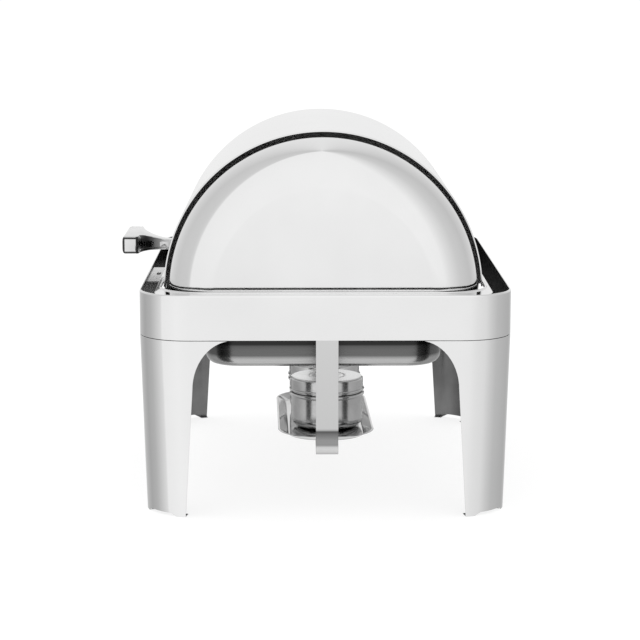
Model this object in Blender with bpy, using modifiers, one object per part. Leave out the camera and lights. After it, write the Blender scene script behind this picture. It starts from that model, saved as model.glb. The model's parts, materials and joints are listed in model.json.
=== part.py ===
"""Roll-top chafing dish food warmer, as an assembly of separate sheet-metal, turned and cast pieces.

Metres, +Z up. X is the long way, the handle is at the front, towards -Y, and Z = 0 is what the feet
stand on. The origin is at the centre of the bottom of the object's box.
"""

import math

import bmesh
import bpy
from mathutils import Matrix, Vector

# Frame
FRAME_HALF_X = 0.3100
FRAME_HALF_Y = 0.2300
FRAME_Y = 0.0183
CORNER_RADIUS = 0.0630
BAND_BOTTOM = 0.2222
BAND_TOP = 0.2775
BAND_WALL = 0.0010
RIM_LIP = 0.0022

# Legs
LEG_TOP = 0.2219
LEG_WALL = 0.0012
LEG_LEAN = 0.0060
LEG_GAP_FOOT = 0.1728
LEG_GAP_ARCH = 0.1628
LEG_ARCH_START = 0.1600
LEG_ARCH_HEIGHT = 0.0620
LEG_ARCH_REACH = 0.0500
LEG_COLUMNS = 12
FOOT_TAB = 0.0140
FOOT_NOTCH = 0.0040

# Lid and its pivot
LID_Y = 0.0160
LID_AXIS_Z = 0.2695
LID_RADIUS = 0.2003
LID_HALF_WRAP = 0.2120
LID_HALF_LENGTH = 0.2740
LID_WALL = 0.0008
LID_HEM = 0.0010
LID_EDGE = 0.0045
CAP_LAP_RADIUS = 0.1937
CAP_SHOULDER = 0.0600
CAP_LAP_X = 0.1900
CAP_FLANGE_RADIUS = 0.1990
CAP_FLANGE_X = (0.1865, 0.1800)
LID_STEPS = 30
PIN_RADIUS = 0.0035
PIN_CLEARANCE = 0.0003

# Plate, pin and hanger that carry the lid and the pans at each end
PLATE_BOTTOM = 0.2400
PLATE_HALF = 0.0220
PLATE_WALL = 0.0020
CLIP_X = (0.2750, 0.2760)
CLIP_RADIUS = 0.0062
HANGER_X = (0.2680, 0.2700)
HANGER_REACH = 0.2575
HANGER_Z = (0.2640, 0.2780)
HANGER_WIDTH = 0.1100
REST_WIDTH = 0.0300
REST_Y = -0.0950
EAR_HALF = 0.0160
EAR_DOWN = 0.0100
EAR_UP = 0.0400

# Collar
COLLAR_HALF_X = 0.3080
COLLAR_HALF_Y = 0.2085
COLLAR_RADIUS = 0.0460
COLLAR_OPEN_X = 0.2768
COLLAR_OPEN_Y = 0.2022
COLLAR_OPEN_RADIUS = 0.0560
COLLAR_LEDGE = 0.2755
COLLAR_BEAD = 0.2770
COLLAR_SKIRT = 0.2742
COLLAR_WALL = 0.0008
BRACKET_X = (0.0330, 0.1600)
BRACKET_DROP = (0.0030, 0.0015)
BRACKET_SLOT = (0.0110, 0.0025)
BRACKET_SLOT_X = 0.0920
BRACKET_SLOT_Y = -0.1980

# Pans, whose flanges follow the GN 1/1 size of 530 x 325 mm
FOOD_FLANGE = (0.2650, 0.1625)
FOOD_OPENING = (0.2525, 0.1500)
FOOD_FLOOR = (0.2405, 0.1380)
FOOD_TOP = 0.2677
FOOD_DEPTH = 0.0650
WATER_FLANGE = (0.2670, 0.1680)
WATER_OPENING = (0.2565, 0.1540)
WATER_FLOOR = (0.2450, 0.1475)
WATER_TOP = 0.2664
WATER_BOTTOM = 0.1770
PAN_CORNER = 0.0480
PAN_FLANGE_CORNER = 0.0540
PAN_FLOOR_CORNER = 0.0440
PAN_FILLET = 0.0120
PAN_WALL = 0.0008

# Burners
STRAP_WIDTH = 0.0275
STRAP_WALL = 0.0015
STRAP_TOP = 0.2390
STRAP_BASE = 0.0790
STRAP_Y = 0.0199
TRAY_X = 0.0875
TRAY_Y = 0.0175
TRAY_TURN = math.radians(1.25)
TRAY_RIM = (0.1550, 0.0611)
TRAY_BASE = (0.1440, 0.0490)
TRAY_RIM_RADIUS = 0.0550
TRAY_TOP = 0.0868
TRAY_WALL = 0.0008
POT_RADIUS = 0.0465
POT_SPACING = 0.1040
POT_BACK = 0.0028
POT_HEIGHT = 0.0490
POT_FILLET = 0.0120
POT_WALL = 0.0008
COVER_RADIUS = 0.0470
COVER_HEIGHT = 0.0180
BEAD_RADIUS = 0.0016
POT_STEPS = 24

# Handle, whose Y values are from the lid's axis
HANDLE_HALF = 0.0590
HANDLE_CORNER = 0.0040
HANDLE_FRONT = LID_Y - 0.2643
HANDLE_BACK = LID_Y - 0.2430
HANDLE_NECK = 0.0125
HANDLE_NECK_ROOM = 0.0150
HANDLE_ROOT = LID_Y - 0.1995
HANDLE_BOTTOM = 0.2950
HANDLE_TOP = 0.3186
HANDLE_ROOT_TOP = 0.3080
FLARE_STEPS = 7
FOOT_HALF = 0.0230
FOOT_WALL = 0.0030
FOOT_OVERHANG = 0.0040
SCREW_X = 0.0170
SCREW_Z = 0.3010
SCREW_RADIUS = 0.0020
SCREW_HEAD = 0.0042
SCREW_HEAD_HEIGHT = 0.0016

GAP = 0.0003
STEEL = (0.80, 0.80, 0.80, 1.0)
SIDES = (("left", -1), ("right", 1))


def clear_scene():
    for item in list(bpy.data.objects):
        bpy.data.objects.remove(item, do_unlink=True)


def new_collection(name, hidden=False):
    collection = bpy.data.collections.new(name)
    collection.hide_render = hidden
    bpy.context.scene.collection.children.link(collection)
    return collection


def steel(name, colour=STEEL, roughness=0.12):
    material = bpy.data.materials.new(name)
    material.use_nodes = True
    shader = material.node_tree.nodes["Principled BSDF"]
    shader.inputs["Base Color"].default_value = colour
    shader.inputs["Roughness"].default_value = roughness
    shader.inputs["Metallic"].default_value = 1.0
    return material


clear_scene()
PARTS = new_collection("chafing_dish")
CUTTERS = new_collection("cutters", hidden=True)
POLISHED = steel("polished_steel")
BRUSHED = steel("brushed_steel", (0.62, 0.62, 0.62, 1.0), 0.28)
CAST = steel("cast_polished", (0.72, 0.72, 0.72, 1.0), 0.16)


def place(name, mesh, material, parent=None, location=(0, 0, 0), smooth=True):
    """A part of its own, made from a mesh."""
    part = bpy.data.objects.new(name, mesh)
    part.data.materials.append(material)
    part.location = location
    part.parent = parent
    PARTS.objects.link(part)
    if smooth:
        mesh.shade_smooth()
        mesh.set_sharp_from_angle(angle=math.radians(35))
    return part


def finished(name, work):
    """The mesh that a bmesh was built for."""
    mesh = bpy.data.meshes.new(name)
    work.to_mesh(mesh)
    work.free()
    return mesh


def solidify(part, thickness):
    """Gives an open surface its wall, on the side away from its normals."""
    modifier = part.modifiers.new("wall", "SOLIDIFY")
    modifier.thickness = thickness
    modifier.offset = -1
    modifier.use_even_offset = True


def as_cutter(shape):
    """Puts a helper shape with the cutters, out of the render."""
    PARTS.objects.unlink(shape)
    CUTTERS.objects.link(shape)
    shape.hide_render = True
    shape.display_type = "WIRE"
    return shape


def combine(part, other, operation="DIFFERENCE"):
    """Takes a cutter's shape out of a part, or joins it on."""
    modifier = part.modifiers.new(other.name, "BOOLEAN")
    modifier.operation = operation
    modifier.object = other


def box_mesh(name, low, high):
    work = bmesh.new()
    bmesh.ops.create_cube(work, size=1.0)
    size = Vector(high) - Vector(low)
    middle = (Vector(high) + Vector(low)) / 2
    bmesh.ops.scale(work, vec=size, verts=work.verts)
    bmesh.ops.translate(work, vec=middle, verts=work.verts)
    return finished(name, work)


def box(name, low, high, material, parent=None):
    return place(name, box_mesh(name, low, high), material, parent, smooth=False)


def rod_mesh(name, radius, low, high, steps=24):
    """A round bar along X, from low to high."""
    work = bmesh.new()
    turn = Matrix.Rotation(math.pi / 2, 4, "Y")
    shift = Matrix.Translation(((low + high) / 2, 0, 0))
    bmesh.ops.create_cone(
        work, cap_ends=True, segments=steps, radius1=radius, radius2=radius,
        depth=high - low, matrix=shift @ turn,
    )
    return finished(name, work)


def rounded_outline(half_x, half_y, radius, steps=5):
    """A rounded rectangle's points, anticlockwise from the start of its +X +Y corner."""
    points = []
    for quarter, (side_x, side_y) in enumerate(((1, 1), (-1, 1), (-1, -1), (1, -1))):
        for step in range(steps + 1):
            angle = (quarter + step / steps) * math.pi / 2
            points.append((
                side_x * (half_x - radius) + radius * math.cos(angle),
                side_y * (half_y - radius) + radius * math.sin(angle),
            ))
    return points


def lofted(name, sections, floor=False):
    """A surface through closed outlines given as (half_x, half_y, radius, z).

    Its normals point away from the middle where the outlines go down, and down where they go inwards.
    """
    work = bmesh.new()
    rings = []
    for half_x, half_y, radius, height in sections:
        outline = rounded_outline(half_x, half_y, radius)
        rings.append([work.verts.new((x, y, height)) for x, y in outline])
    for upper, lower in zip(rings, rings[1:]):
        for index in range(len(upper)):
            after = (index + 1) % len(upper)
            work.faces.new((upper[index], lower[index], lower[after], upper[after]))
    if floor:
        work.faces.new(list(reversed(rings[-1])))
    return finished(name, work)


def turned(name, profile, material, steps, parent=None, location=(0, 0, 0)):
    """A profile of (radius, height) points, turned all the way round the local Z axis."""
    part = place(name, profile_mesh(name, profile), material, parent, location)
    screw(part, 2 * math.pi, steps)
    return part


def profile_mesh(name, profile):
    work = bmesh.new()
    line = [work.verts.new((radius, 0, height)) for radius, height in profile]
    for start, end in zip(line, line[1:]):
        work.edges.new((start, end))
    return finished(name, work)


def screw(part, angle, steps):
    modifier = part.modifiers.new("turn", "SCREW")
    modifier.axis = "Z"
    modifier.angle = angle
    modifier.steps = steps
    modifier.render_steps = steps
    modifier.use_merge_vertices = True
    modifier.merge_threshold = 0.00002
    modifier.use_smooth_shade = True


def arc(centre, radius, start, end, steps):
    """Points on a circle about (across, up), from a start to an end angle in degrees."""
    points = []
    for step in range(steps + 1):
        angle = math.radians(start + (end - start) * step / steps)
        points.append((
            centre[0] + radius * math.cos(angle),
            centre[1] + radius * math.sin(angle),
        ))
    return points


# Frame


def make_band():
    """The apron: one ring of sheet, its top edge turned inwards."""
    low = (FRAME_HALF_X, FRAME_HALF_Y, CORNER_RADIUS)
    sections = [
        (low[0] - RIM_LIP, low[1] - RIM_LIP, low[2] - RIM_LIP, BAND_TOP),
        (low[0] - RIM_LIP / 4, low[1] - RIM_LIP / 4, low[2] - RIM_LIP / 4, BAND_TOP - RIM_LIP / 4),
        (*low, BAND_TOP - RIM_LIP),
        (*low, BAND_BOTTOM),
    ]
    mesh = lofted("frame_band", sections)
    solidify(place("frame_band", mesh, POLISHED, location=(0, FRAME_Y, 0)), BAND_WALL)


def leg_gap(height):
    """Half the gap between two legs, seen from the frame's end, at a height."""
    if height <= LEG_ARCH_START:
        share = height / LEG_ARCH_START
        return LEG_GAP_FOOT + (LEG_GAP_ARCH - LEG_GAP_FOOT) * share
    rise = min((height - LEG_ARCH_START) / LEG_ARCH_HEIGHT, 1)
    return LEG_GAP_ARCH - LEG_ARCH_REACH * (1 - math.sqrt(1 - rise * rise))


def corner_reach(gap, straight):
    """How far along the corner's path a flange's edge lies, where the edge is gap from the middle."""
    if gap <= straight:
        return gap
    return straight + CORNER_RADIUS * math.asin((gap - straight) / CORNER_RADIUS)


def corner_point(reach, half_x, half_y):
    """The point and the outward direction at a distance along the path round a +X +Y corner."""
    straight = half_y - CORNER_RADIUS
    turn = CORNER_RADIUS * math.pi / 2
    if reach < straight:
        return Vector((half_x, reach, 0)), Vector((1, 0, 0))
    if reach > straight + turn:
        past = reach - straight - turn
        return Vector((half_x - CORNER_RADIUS - past, half_y, 0)), Vector((0, 1, 0))
    angle = (reach - straight) / CORNER_RADIUS
    outward = Vector((math.cos(angle), math.sin(angle), 0))
    return Vector((half_x - CORNER_RADIUS, straight, 0)) + CORNER_RADIUS * outward, outward


def leg_row(height, inset=0.0):
    """The points of a leg's outer face at one height, from its end flange to its long flange."""
    lean = LEG_LEAN * (1 - height / LEG_TOP)
    half_x = FRAME_HALF_X - lean
    half_y = FRAME_HALF_Y - lean
    gap = leg_gap(height)
    path = half_y - CORNER_RADIUS + CORNER_RADIUS * math.pi / 2 + half_x - CORNER_RADIUS
    start = corner_reach(gap, half_y - CORNER_RADIUS)
    long_gap = gap + FRAME_HALF_X - FRAME_HALF_Y
    end = path - corner_reach(long_gap, half_x - CORNER_RADIUS)
    points = []
    for column in range(LEG_COLUMNS + 1):
        reach = start + (end - start) * column / LEG_COLUMNS
        point, outward = corner_point(reach, half_x, half_y)
        points.append(point - inset * outward + Vector((0, 0, height)))
    return points


def make_leg(name, side_x, side_y):
    """A bent sheet leg. The sheet is folded in at the foot, at both ends, and notched between."""
    tab_columns = (0, 1, LEG_COLUMNS - 2, LEG_COLUMNS - 1)
    heights = [0.0, 0.08, LEG_ARCH_START]
    heights += [LEG_ARCH_START + LEG_ARCH_HEIGHT * share for share in (0.35, 0.6, 0.78, 0.9)]
    rows = [leg_row(height) for height in heights + [LEG_TOP]]
    foot = leg_row(0.0, FOOT_TAB)
    on_tab = {column + step for column in tab_columns for step in (0, 1)}
    for column, point in enumerate(rows[0]):
        point.z = 0.0 if column in on_tab else FOOT_NOTCH
    work = bmesh.new()

    def corner(point):
        return work.verts.new((side_x * point.x, side_y * point.y + FRAME_Y, point.z))

    grid = [[corner(point) for point in row] for row in rows]
    tabs = {column: corner(foot[column]) for column in sorted(on_tab)}
    for lower, upper in zip(grid, grid[1:]):
        for column in range(LEG_COLUMNS):
            work.faces.new((lower[column], lower[column + 1], upper[column + 1], upper[column]))
    for column in tab_columns:
        work.faces.new((tabs[column], tabs[column + 1], grid[0][column + 1], grid[0][column]))
    if side_x * side_y < 0:
        bmesh.ops.reverse_faces(work, faces=work.faces)
    solidify(place(name, finished(name, work), POLISHED), LEG_WALL)


def make_leg_joint(name, side_x, side_y):
    """The plate inside a corner, behind the seam between the band and a leg."""
    low, high = LEG_TOP - 0.014, BAND_BOTTOM + 0.014
    inset = LEG_LEAN * (1 - low / LEG_TOP) + LEG_WALL + 3 * GAP
    half_x, half_y = FRAME_HALF_X, FRAME_HALF_Y
    start = half_y - CORNER_RADIUS - 0.020
    end = half_y - CORNER_RADIUS + CORNER_RADIUS * math.pi / 2 + 0.020
    columns = 8
    work = bmesh.new()
    rows = []
    for height in (low, high):
        row = []
        for column in range(columns + 1):
            reach = start + (end - start) * column / columns
            point, outward = corner_point(reach, half_x, half_y)
            point -= inset * outward
            row.append(work.verts.new((side_x * point.x, side_y * point.y + FRAME_Y, height)))
        rows.append(row)
    for column in range(columns):
        lower, upper = rows
        work.faces.new((lower[column], lower[column + 1], upper[column + 1], upper[column]))
    if side_x * side_y < 0:
        bmesh.ops.reverse_faces(work, faces=work.faces)
    solidify(place(name, finished(name, work), BRUSHED), LEG_WALL)


def make_collar():
    """The ledge ring that the lid rolls through, with a raised bead round its opening."""
    bead = (
        (0, 0, COLLAR_SKIRT), (0, 0, COLLAR_BEAD - COLLAR_WALL), (0.0008, 0.0008, COLLAR_BEAD),
        (0.0022, 0.0018, COLLAR_BEAD), (0.0030, 0.0024, COLLAR_LEDGE),
    )
    sections = [
        (COLLAR_OPEN_X + out_x, COLLAR_OPEN_Y + out_y, COLLAR_OPEN_RADIUS, height)
        for out_x, out_y, height in bead
    ]
    sections += [
        (COLLAR_HALF_X, COLLAR_HALF_Y, COLLAR_RADIUS, COLLAR_LEDGE),
        (COLLAR_HALF_X, COLLAR_HALF_Y, COLLAR_RADIUS, COLLAR_LEDGE - COLLAR_WALL - GAP / 2),
    ]
    mesh = lofted("lid_collar", sections)
    solidify(place("lid_collar", mesh, POLISHED, location=(0, LID_Y, 0)), COLLAR_WALL)


def make_collar_bracket():
    """A flat tab with a slot, which ties the collar to the front wall."""
    wall = FRAME_Y - FRAME_HALF_Y + BAND_WALL + GAP
    collar = LID_Y - COLLAR_HALF_Y - GAP
    low = (BRACKET_X[0], wall, COLLAR_LEDGE - BRACKET_DROP[0])
    high = (BRACKET_X[1], collar, COLLAR_LEDGE - BRACKET_DROP[1])
    part = box("collar_bracket", low, high, POLISHED)
    outline = rounded_outline(*BRACKET_SLOT, BRACKET_SLOT[1])
    work = bmesh.new()
    rings = [[work.verts.new((x, y, z)) for x, y in outline] for z in (-PLATE_WALL, PLATE_WALL)]
    bmesh.ops.bridge_loops(work, edges=[
        work.edges.new((start, end)) for ring in rings for start, end in zip(ring, ring[1:] + ring[:1])
    ])
    for ring in rings:
        work.faces.new(ring)
    bmesh.ops.recalc_face_normals(work, faces=work.faces)
    middle = (BRACKET_SLOT_X, BRACKET_SLOT_Y, (low[2] + high[2]) / 2)
    slot = place("bracket_slot", finished("bracket_slot", work), POLISHED, location=middle)
    combine(part, as_cutter(slot))


# Pivot


def make_pivot(name, side):
    """A pin on a plate on the end wall, and the hanger that it carries inside the lid."""
    inner_wall = FRAME_HALF_X - BAND_WALL - GAP
    hanger_in, hanger_out = HANGER_X

    def span(near, far):
        return sorted((side * near, side * far))

    def pin_cutter(owner):
        low, high = span(0.25, 0.32)
        cutter = rod_mesh(owner + "_bore", PIN_RADIUS + PIN_CLEARANCE, low, high)
        return as_cutter(place(owner + "_bore", cutter, BRUSHED, location=(0, LID_Y, LID_AXIS_Z)))

    low, high = span(inner_wall - PLATE_WALL, inner_wall)
    bracket = box(
        "pivot_bracket_" + name,
        (low, LID_Y - PLATE_HALF, PLATE_BOTTOM),
        (high, LID_Y + PLATE_HALF, COLLAR_LEDGE - COLLAR_WALL - 3 * GAP),
        BRUSHED,
    )
    combine(bracket, pin_cutter(bracket.name))

    low, high = span(hanger_in, inner_wall)
    pin = rod_mesh("pivot_pin_" + name, PIN_RADIUS, low, high)
    place("pivot_pin_" + name, pin, BRUSHED, location=(0, LID_Y, LID_AXIS_Z))

    low, high = span(*CLIP_X)
    clip = rod_mesh("pivot_clip_" + name, CLIP_RADIUS, low, high)
    clip = place("pivot_clip_" + name, clip, BRUSHED, location=(0, LID_Y, LID_AXIS_Z))
    combine(clip, pin_cutter(clip.name))

    bottom, top = HANGER_Z
    outline = [
        (hanger_out, top),
        (hanger_out, bottom),
        (HANGER_REACH, bottom),
        (HANGER_REACH, WATER_TOP - GAP),
        (hanger_in, WATER_TOP - GAP),
        (hanger_in, top),
    ]
    hanger = bent_bar("pan_hanger_" + name, outline, HANGER_WIDTH, side, LID_Y)
    combine(hanger, pin_cutter(hanger.name))


def bent_bar(name, outline, width, side, middle_y, material=BRUSHED):
    """A bar of one section in the XZ plane, given at +X, drawn out along Y."""
    curve = bpy.data.curves.new(name, "CURVE")
    curve.dimensions = "2D"
    curve.fill_mode = "BOTH"
    curve.extrude = width / 2
    spline = curve.splines.new("POLY")
    spline.points.add(len(outline) - 1)
    for point, (x, z) in zip(spline.points, outline):
        point.co = (side * x, z, 0, 1)
    spline.use_cyclic_u = True
    guide = bpy.data.objects.new(name + "_curve", curve)
    guide.rotation_euler = (math.pi / 2, 0, 0)
    guide.location = (0, middle_y, 0)
    PARTS.objects.link(guide)
    part = converted(name, guide)
    part.data.materials.clear()
    part.data.materials.append(material)
    return part


def converted(name, guide):
    """A mesh object in place of a curve, with its caps welded on."""
    bpy.context.view_layer.update()
    graph = bpy.context.evaluated_depsgraph_get()
    mesh = bpy.data.meshes.new_from_object(guide.evaluated_get(graph))
    work = bmesh.new()
    work.from_mesh(mesh)
    bmesh.ops.remove_doubles(work, verts=work.verts, dist=0.00002)
    bmesh.ops.recalc_face_normals(work, faces=work.faces)
    work.to_mesh(mesh)
    work.free()
    part = bpy.data.objects.new(name, mesh)
    part.matrix_world = guide.matrix_world.copy()
    PARTS.objects.link(part)
    bpy.data.objects.remove(guide, do_unlink=True)
    return part


def make_pan_rest(name, side):
    """An arm from an end wall, which steadies the water pan's flange in front of the pin."""
    wall = FRAME_HALF_X - BAND_WALL - GAP
    top = WATER_TOP - GAP
    inner = wall - PLATE_WALL
    under = top - PLATE_WALL
    outline = [
        (wall, PLATE_BOTTOM), (wall, top), (HANGER_REACH, top), (HANGER_REACH, under),
        (inner, under), (inner, PLATE_BOTTOM),
    ]
    bent_bar("pan_rest_" + name, outline, REST_WIDTH, side, LID_Y + REST_Y)


# Lid


def make_lid():
    """The lid's pieces, on an empty whose Z axis is the lid's turning axis, along -X."""
    axis = bpy.data.objects.new("lid_axis", None)
    axis.location = (0, LID_Y, LID_AXIS_Z)
    axis.matrix_world = Matrix.Translation(axis.location) @ Matrix((
        (0, 0, -1, 0), (-1, 0, 0, 0), (0, 1, 0, 0), (0, 0, 0, 1),
    ))
    PARTS.objects.link(axis)
    shell = make_lid_shell(axis)
    for name, side in SIDES:
        make_lid_end(axis, name, -side)
        make_pivot_plate(name, side)
    make_handle(shell)


def make_lid_shell(axis):
    """The rolled sheet, with a beaded edge at each end. Its local X axis points to the front."""
    bead = arc((LID_RADIUS - LID_HEM, LID_HALF_WRAP - LID_HEM), LID_HEM, 180, 0, 4)
    lower = [(radius, -height) for radius, height in reversed(bead)]
    start = math.asin(LID_EDGE / LID_RADIUS)
    shell = place("lid_shell", profile_mesh("lid_shell", bead + lower), POLISHED, axis)
    shell.rotation_euler = (0, 0, start)
    screw(shell, math.pi - 2 * start, LID_STEPS)
    solidify(shell, LID_WALL)
    return shell


def make_lid_end(axis, name, side):
    """A pressed end in two pieces: a flat face, and a round shoulder with its lap inside the shell."""
    middle = CAP_LAP_RADIUS - CAP_SHOULDER
    start = LID_HALF_LENGTH - CAP_SHOULDER
    shoulder = arc((middle, start), CAP_SHOULDER, 90, 0, 7)[1:]
    shoulder = [(middle + GAP, LID_HALF_LENGTH)] + shoulder + [(CAP_LAP_RADIUS, CAP_LAP_X)]
    shoulder += [(CAP_FLANGE_RADIUS, x) for x in CAP_FLANGE_X]
    reach = LID_RADIUS + 0.01
    low = sorted((side * 0.15, side * 0.30))
    trim = as_cutter(box(
        "trim_" + name, (-reach, -0.02, low[0]), (reach, LID_EDGE, low[1]), POLISHED, axis
    ))
    face = [(0, LID_HALF_LENGTH), (middle, LID_HALF_LENGTH)]
    for kind, profile in (("lid_end_", face), ("lid_shoulder_", shoulder)):
        if side < 0:
            profile = [(radius, -height) for radius, height in reversed(profile)]
        piece = place(kind + name, profile_mesh(kind + name, profile), POLISHED, axis)
        screw(piece, math.pi, LID_STEPS)
        solidify(piece, LID_WALL)
        combine(piece, trim)


def make_pivot_plate(name, side):
    """The ear inside an end cap, with the hole that turns on the pin."""
    face = LID_HALF_LENGTH - LID_WALL - GAP
    low, high = sorted((side * face, side * (face - PLATE_WALL)))
    plate_name = "lid_pivot_plate_" + name
    plate = box(
        plate_name,
        (low, LID_Y - EAR_HALF, LID_AXIS_Z - EAR_DOWN),
        (high, LID_Y + EAR_HALF, LID_AXIS_Z + EAR_UP),
        BRUSHED,
    )
    ends = sorted((side * 0.26, side * 0.28))
    bore = rod_mesh(plate_name + "_bore", PIN_RADIUS + PIN_CLEARANCE, *ends)
    bore = place(plate_name + "_bore", bore, BRUSHED, location=(0, LID_Y, LID_AXIS_Z))
    combine(plate, as_cutter(bore))


# Handle


def handle_top(y):
    """The handle's upper face falls from the bar towards the lid."""
    share = min(max((y - HANDLE_BACK) / (HANDLE_ROOT - HANDLE_BACK), 0), 1)
    return HANDLE_TOP + (HANDLE_ROOT_TOP - HANDLE_TOP) * math.sin(share * math.pi / 2)


def shell_front(height):
    """The Y of the lid's outer face, a little in front of it, at a height."""
    rise = height - LID_AXIS_Z
    return LID_Y - math.sqrt((LID_RADIUS + GAP) ** 2 - rise * rise)


def handle_outline():
    """Half of the handle seen from above, from the front middle round to the root."""
    corner = HANDLE_CORNER
    bar = [(0, HANDLE_FRONT), (HANDLE_HALF - corner, HANDLE_FRONT)]
    bar += arc((HANDLE_HALF - corner, HANDLE_FRONT + corner), corner, -90, 0, 2)[1:]
    bar += [(HANDLE_HALF, HANDLE_BACK)]
    reach_x = HANDLE_HALF - HANDLE_NECK
    reach_y = HANDLE_ROOT - HANDLE_BACK - HANDLE_NECK_ROOM
    flare = []
    for step in range(1, FLARE_STEPS + 1):
        angle = step / FLARE_STEPS * math.pi / 2
        flare.append((
            HANDLE_HALF - reach_x * math.sin(angle),
            HANDLE_BACK + reach_y * (1 - math.cos(angle)),
        ))
    return bar + flare + [(HANDLE_NECK, HANDLE_ROOT), (0, HANDLE_ROOT)]


def make_handle(shell):
    """A bar on a flared neck, and the foot that meets the lid."""
    half = handle_outline()
    outline = half + [(-x, y) for x, y in reversed(half[1:-1])]
    work = bmesh.new()
    low = [work.verts.new((x, y, HANDLE_BOTTOM)) for x, y in outline]
    high = [work.verts.new((x, y, handle_top(y))) for x, y in outline]
    work.faces.new(list(reversed(low)))
    work.faces.new(high)
    count = len(outline)
    for index in range(count):
        after = (index + 1) % count
        work.faces.new((low[index], low[after], high[after], high[index]))
    bmesh.ops.triangulate(work, faces=[face for face in work.faces if len(face.verts) > 4])
    handle = place("lid_handle", finished("lid_handle", work), CAST)
    combine(handle, handle_foot(), "UNION")
    for name, side in SIDES:
        hole = screw_hole(name, side)
        combine(handle, hole)
        combine(shell, hole)
        make_handle_screw(name, side)


def handle_foot():
    """The handle's foot, a thin plate curved to the lid."""
    work = bmesh.new()
    rows = []
    bottom = HANDLE_BOTTOM - FOOT_OVERHANG
    top = HANDLE_ROOT_TOP + FOOT_OVERHANG
    for height in (bottom, (bottom + top) / 2, top):
        back = shell_front(height)
        front = back - FOOT_WALL
        row = [(-FOOT_HALF, front), (FOOT_HALF, front), (FOOT_HALF, back), (-FOOT_HALF, back)]
        rows.append([work.verts.new((x, y, height)) for x, y in row])
    for lower, upper in zip(rows, rows[1:]):
        for index in range(4):
            after = (index + 1) % 4
            work.faces.new((lower[index], lower[after], upper[after], upper[index]))
    work.faces.new(list(reversed(rows[0])))
    work.faces.new(rows[-1])
    return as_cutter(place("handle_foot", finished("handle_foot", work), CAST, smooth=False))


def screw_frame(side):
    """Where a handle screw sits, with its own X axis pointing out of the lid, to the front."""
    rise = SCREW_Z - LID_AXIS_Z
    tilt = math.asin(rise / LID_RADIUS)
    outward = Vector((0, -math.cos(tilt), math.sin(tilt)))
    across = Vector((1, 0, 0))
    up = outward.cross(across)
    turn = Matrix((outward, across, up)).transposed().to_4x4()
    middle = Vector((side * SCREW_X, LID_Y, LID_AXIS_Z)) + LID_RADIUS * outward
    return Matrix.Translation(middle) @ turn


def screw_hole(name, side):
    hole = place("screw_hole_" + name, rod_mesh("screw_hole", SCREW_RADIUS + GAP, -0.01, 0.01, 12), BRUSHED)
    hole.matrix_world = screw_frame(side)
    return as_cutter(hole)


def make_handle_screw(name, side):
    """A pan-head screw from inside the lid, as far as the foot's outer face."""
    inside = -LID_WALL - 2 * GAP
    crown = inside - SCREW_HEAD_HEIGHT
    profile = [
        (0, FOOT_WALL), (SCREW_RADIUS, FOOT_WALL), (SCREW_RADIUS, inside),
        (SCREW_HEAD, inside), (SCREW_HEAD, crown), (0, crown - SCREW_HEAD_HEIGHT / 2),
    ]
    part = turned("handle_screw_" + name, profile, BRUSHED, 12)
    part.matrix_world = screw_frame(side) @ Matrix.Rotation(math.pi / 2, 4, "Y")


# Pans


def make_pan(name, flange, opening, floor, top, bottom):
    """A pressed pan with a flat flange, tapered walls and a round bottom edge."""
    sections = [(*flange, PAN_FLANGE_CORNER, top), (*opening, PAN_CORNER, top)]
    for angle in (0, 30, 60, 90):
        inward = PAN_FILLET * (1 - math.cos(math.radians(angle)))
        down = PAN_FILLET * math.sin(math.radians(angle))
        sections.append((
            floor[0] - inward, floor[1] - inward, PAN_FLOOR_CORNER - inward, bottom + PAN_FILLET - down,
        ))
    mesh = lofted(name, sections, floor=True)
    solidify(place(name, mesh, POLISHED, location=(0, LID_Y, 0)), PAN_WALL)


# Burners


def make_strap():
    """The flat strip under the burners: down inside the end walls, in, and across."""
    wall = STRAP_WALL
    outer = FRAME_HALF_X - BAND_WALL - GAP
    outside = [
        (outer, STRAP_TOP), (outer, 0.1120), (0.3005, 0.0940), (0.3050, 0.0850), (0.3030, STRAP_BASE),
    ]
    inside = [
        (0.3020, STRAP_BASE + wall), (0.3030, 0.0855), (0.2985, 0.0940),
        (outer - wall, 0.1125), (outer - wall, STRAP_TOP),
    ]
    outline = outside + [(-x, z) for x, z in reversed(outside)]
    outline += [(-x, z) for x, z in reversed(inside)] + inside
    bent_bar("fuel_strap", outline, STRAP_WIDTH, 1, STRAP_Y, POLISHED)


def make_burners():
    """The tray, and the two fuel pots with their covers, on one empty that slides along the strap."""
    slide = bpy.data.objects.new("burner_slide", None)
    slide.location = (TRAY_X, TRAY_Y, STRAP_BASE + STRAP_WALL + GAP)
    slide.rotation_euler = (0, 0, TRAY_TURN)
    PARTS.objects.link(slide)
    rise = TRAY_TOP - slide.location.z
    lip = 0.0025
    sections = [
        (TRAY_RIM[0], TRAY_RIM[1], TRAY_RIM_RADIUS, rise),
        (TRAY_RIM[0] - lip, TRAY_RIM[1] - lip, TRAY_RIM_RADIUS - lip, rise),
        (TRAY_BASE[0], TRAY_BASE[1], TRAY_RIM_RADIUS - 0.010, 0.0008),
        (TRAY_BASE[0] - 0.0008, TRAY_BASE[1] - 0.0008, TRAY_RIM_RADIUS - 0.0108, 0),
    ]
    tray = place("burner_tray", lofted("burner_tray", sections, floor=True), POLISHED, slide)
    solidify(tray, TRAY_WALL)
    for name, side in (("far", -1), ("near", 1)):
        base = (side * POT_SPACING / 2, POT_BACK, TRAY_WALL + GAP)
        make_pot(name, slide, base)
        make_cover(name, slide, base)


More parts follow.
